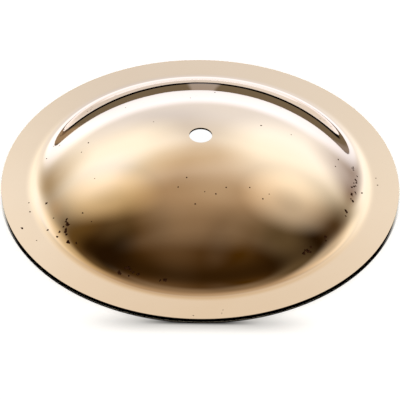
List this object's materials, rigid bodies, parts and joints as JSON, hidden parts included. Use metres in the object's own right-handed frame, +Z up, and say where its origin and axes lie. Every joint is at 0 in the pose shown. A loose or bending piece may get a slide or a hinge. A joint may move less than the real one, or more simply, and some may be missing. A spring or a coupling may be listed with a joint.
{
  "type": "bell cymbal",
  "caption": "Thick cast-bronze bell cymbal: a shallow polished dome with a flat flange, a plain edge and a centre hole for a cymbal stand.",
  "frame": {"origin": "on the cymbal's axis, in the plane of the flange's underside, which is what it rests on when it is laid down", "axes": "+Z up along the cymbal's axis, out through the stand hole at the top of the dome; X and Y lie in the flange's plane, and the cymbal is round about Z"},
  "size_m": [0.2414, 0.2414, 0.0392],
  "materials": {
    "cast_bronze": "mirror polish with small casting pits"
  },
  "bodies": {
    "root": {"bell_cymbal": "cast_bronze"}
  },
  "joints": []
}
